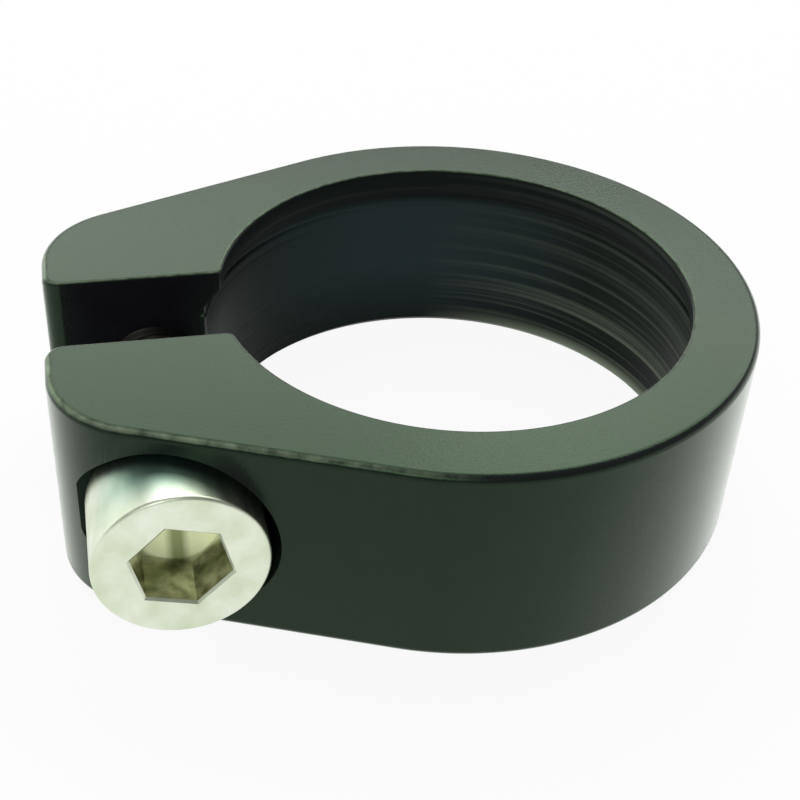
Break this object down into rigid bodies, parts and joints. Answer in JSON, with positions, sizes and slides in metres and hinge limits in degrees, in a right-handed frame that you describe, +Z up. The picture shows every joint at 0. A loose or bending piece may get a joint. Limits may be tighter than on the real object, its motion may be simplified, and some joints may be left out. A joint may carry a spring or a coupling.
{
  "type": "seatpost clamp",
  "caption": "Slotted round collar with clamping ears and a socket head screw, which draws a bicycle's seat tube tight round its seatpost.",
  "frame": {"origin": "on the bore axis, at the collar's lower face", "axes": "+Z up the bore axis towards the lip, -X towards the ears, -Y towards the screw's head"},
  "size_m": [0.0446, 0.038, 0.0136],
  "materials": {
    "anodised_aluminium": "bead blasted and anodised black, bore left as turned",
    "zinc_plated_steel": "bright zinc plate"
  },
  "bodies": {
    "collar": {"clamp_collar": "anodised_aluminium"},
    "screw": {"clamp_screw": "zinc_plated_steel"}
  },
  "joints": [
    {"name": "screw_turn", "type": "hinge", "parent": "collar", "child": "screw", "pos_m": [-0.01895, 0, 0.0068], "axis": [0, 1, 0], "range_deg": [-690, 570]}
  ]
}
